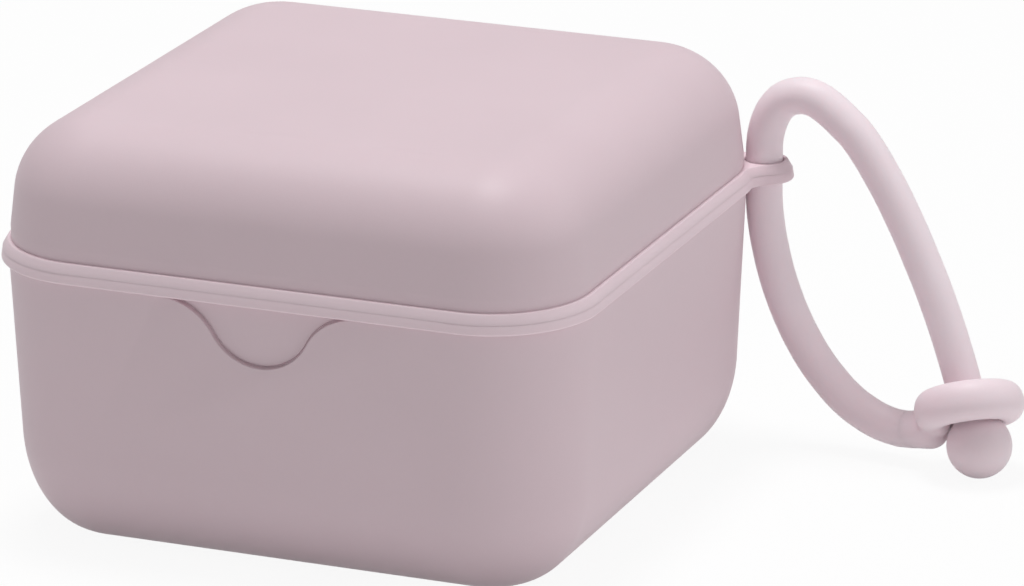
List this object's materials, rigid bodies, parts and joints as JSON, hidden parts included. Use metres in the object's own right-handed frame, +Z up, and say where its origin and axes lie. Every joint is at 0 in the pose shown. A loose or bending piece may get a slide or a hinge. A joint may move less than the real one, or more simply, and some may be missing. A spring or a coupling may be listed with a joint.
{
  "type": "pacifier sterilizer case",
  "caption": "Rounded-square moulded case with a flanged base, a matching lift-off lid, a perforated inner tray and a buttoned cord strap through a corner ear.",
  "frame": {"origin": "middle of the base's flat underside", "axes": "+Z up through the lid, the front with the thumb recess faces -Y, the ear and strap are at the +X +Y corner"},
  "size_m": [0.131, 0.0904, 0.0621],
  "materials": {
    "base_plastic": "fine matt moulded polypropylene, dusty pale pink",
    "lid_plastic": "fine matt moulded polypropylene, dusty pale pink",
    "tray_plastic": "fine matt moulded polypropylene, a little lighter than the case",
    "strap_silicone": "soft satin silicone, dusty pale pink"
  },
  "bodies": {
    "case_base": {"base": "base_plastic"},
    "case_lid": {"lid": "lid_plastic"},
    "tray": {"insert_tray": "tray_plastic"},
    "strap": {"strap_cord": "strap_silicone", "strap_eyelet": "strap_silicone", "strap_ball": "strap_silicone"}
  },
  "joints": [
    {"name": "lid_lift", "type": "slide", "parent": "case_base", "child": "case_lid", "axis": [0, 0, 1], "range_m": [0, 0.07], "deforming": ["strap_cord"]},
    {"name": "tray_lift", "type": "slide", "parent": "case_base", "child": "tray", "axis": [0, 0, 1], "range_m": [0, 0.035]},
    {"name": "strap_swing", "type": "hinge", "parent": "case_base", "child": "strap", "pos_m": [0.04456, 0.03877, 0.0426], "axis": [0, 0, 1], "range_deg": [-65, 140]}
  ]
}
